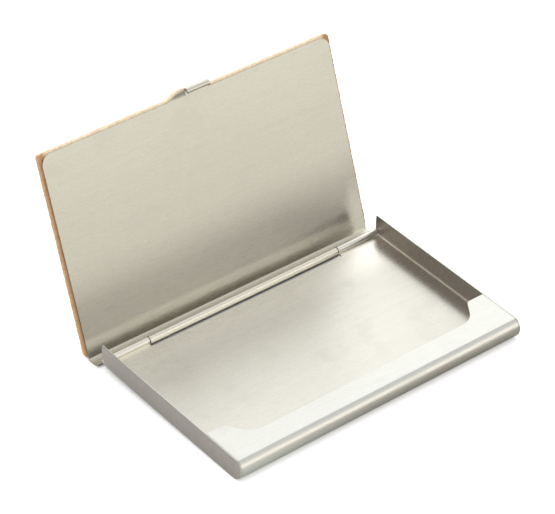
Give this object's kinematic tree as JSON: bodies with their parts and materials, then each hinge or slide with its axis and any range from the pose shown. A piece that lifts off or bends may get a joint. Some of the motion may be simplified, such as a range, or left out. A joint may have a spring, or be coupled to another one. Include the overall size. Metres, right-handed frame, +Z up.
{
  "type": "business card case",
  "caption": "Slim hinged metal card case: open tray with a turned-over front lip, wire-pinned lid with a leather cover and a small thumb catch.",
  "frame": {"origin": "tray underside, on the middle plane of the width, half way between the front lip and the spine of the closed lid", "axes": "+X along the hinge to the right as seen from the front lip, +Y from the front lip to the hinge, +Z up out of the tray"},
  "size_m": [0.0952, 0.0847, 0.0559],
  "materials": {
    "tray_steel": "fine brushed stainless steel, satin",
    "lid_steel": "fine brushed stainless steel, satin",
    "pin_wire": "bright drawn wire",
    "cover_leather": "natural vegetable-tanned leather with raw cut edges",
    "glue": "thin dried contact adhesive"
  },
  "bodies": {
    "base": {"tray": "tray_steel", "hinge_pin": "pin_wire"},
    "lid_body": {"lid": "lid_steel", "cover_film": "glue", "lid_cover": "cover_leather"}
  },
  "joints": [
    {"name": "lid_hinge", "type": "hinge", "parent": "base", "child": "lid_body", "pos_m": [0, 0.0278, 0.001], "axis": [1, 0, 0], "range_deg": [0, 110.6]}
  ]
}
